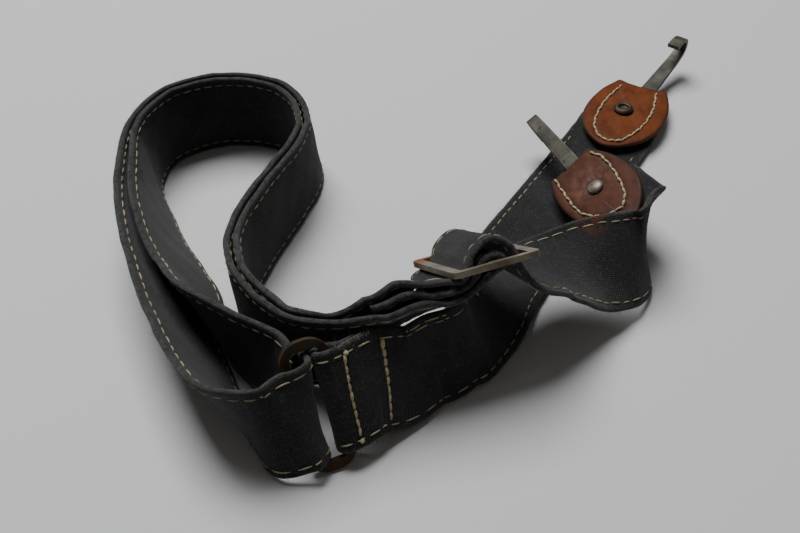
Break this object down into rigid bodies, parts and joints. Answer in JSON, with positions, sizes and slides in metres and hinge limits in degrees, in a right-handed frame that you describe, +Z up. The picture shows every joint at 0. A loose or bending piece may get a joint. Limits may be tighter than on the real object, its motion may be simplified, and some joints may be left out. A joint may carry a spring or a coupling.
{
  "type": "backpack shoulder strap",
  "caption": "Dark canvas carrying strap lying in a loop, with a steel slider, a ring and leather ends with bent hooks; it clips to a pack and is worn over the shoulder.",
  "frame": {"origin": "on the floor under the middle of the strap's outline", "axes": "+Z up from the floor the strap lies on, +Y away from the viewer, +X to the viewer's right"},
  "size_m": [0.2478, 0.2444, 0.0569],
  "materials": {
    "long_canvas": "worn black canvas with cream edge stitching",
    "short_canvas": "worn black canvas with cream edge stitching",
    "slider_steel": "dull plated steel, rust at one end",
    "ring_steel": "dark steel with rust",
    "orange_leather": "worn orange-brown leather",
    "red_leather": "worn red-brown leather",
    "hook_a_brass": "tarnished",
    "hook_b_brass": "tarnished",
    "dark_rivet": "tarnished dark",
    "bright_rivet": "worn bright"
  },
  "bodies": {
    "root": {"long_strap": "long_canvas", "short_strap": "short_canvas", "slider_buckle": "slider_steel", "strap_ring": "ring_steel", "leather_tab_a": "orange_leather", "leather_tab_b": "red_leather", "hook_a": "hook_a_brass", "hook_b": "hook_b_brass", "rivet_a": "dark_rivet", "rivet_b": "bright_rivet"}
  },
  "joints": []
}
